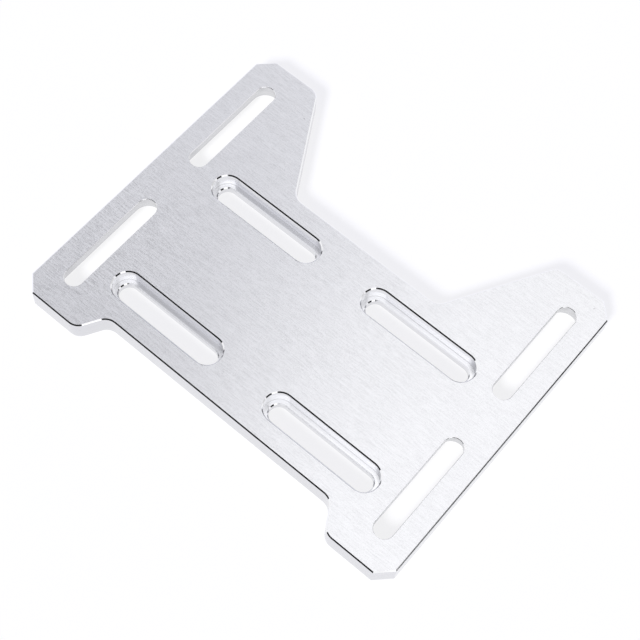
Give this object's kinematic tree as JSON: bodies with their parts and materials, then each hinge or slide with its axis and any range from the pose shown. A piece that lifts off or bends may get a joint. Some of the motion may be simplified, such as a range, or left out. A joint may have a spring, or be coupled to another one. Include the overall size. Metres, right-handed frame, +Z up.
{
  "type": "engine mount plate",
  "caption": "Flat milled plate with long stepped slots that carries a small horizontal-shaft engine on a frame and lets it slide to set the drive tension.",
  "frame": {"origin": "middle of the underside, below the centre of the engine's bolt pattern", "axes": "+X along the plate's length, +Y towards the deep rear bay, +Z up through the thickness"},
  "size_m": [0.19, 0.151, 0.01],
  "materials": {
    "plate": "brushed along the length"
  },
  "bodies": {
    "root": {"mount_plate": "plate"}
  },
  "joints": []
}
